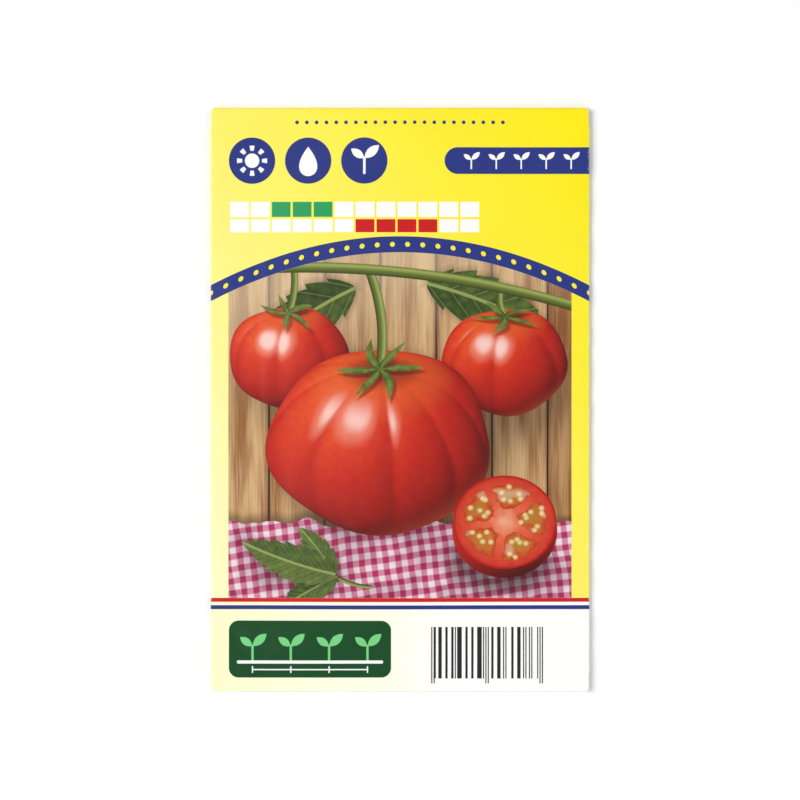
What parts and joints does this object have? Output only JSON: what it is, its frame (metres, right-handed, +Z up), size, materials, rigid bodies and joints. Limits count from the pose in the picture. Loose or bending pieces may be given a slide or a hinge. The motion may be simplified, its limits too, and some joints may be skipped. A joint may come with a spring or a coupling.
{
  "type": "seed packet",
  "caption": "Flat glued paper seed packet lying on its back: printed front, folded side and top flaps, and inside it a sealed foil sachet of loose tomato seeds.",
  "frame": {"origin": "middle of the packet's outline, on the surface that its back lies on", "axes": "+X to the packet's right and +Y to its top edge as its front is read, +Z up out of the printed front"},
  "size_m": [0.085, 0.131, 0.0026],
  "materials": {
    "printed_paper": "satin",
    "paste": "satin",
    "foil": "gloss",
    "seed": "matte"
  },
  "bodies": {
    "root": {"paper_packet": "printed_paper", "glue_left_seam": "paste", "glue_right_seam": "paste", "glue_top_flap": "paste", "sachet_back_foil": "foil", "sachet_front_foil": "foil", "seed_01": "seed", "seed_02": "seed", "seed_03": "seed", "seed_04": "seed", "seed_05": "seed", "seed_06": "seed", "seed_07": "seed", "seed_08": "seed", "seed_09": "seed", "seed_10": "seed", "seed_11": "seed", "seed_12": "seed", "seed_13": "seed", "seed_14": "seed", "seed_15": "seed", "seed_16": "seed", "seed_17": "seed", "seed_18": "seed", "seed_19": "seed", "seed_20": "seed", "seed_21": "seed", "seed_22": "seed", "seed_23": "seed", "seed_24": "seed", "seed_25": "seed", "seed_26": "seed", "seed_27": "seed", "seed_28": "seed", "seed_29": "seed", "seed_30": "seed"}
  },
  "joints": []
}
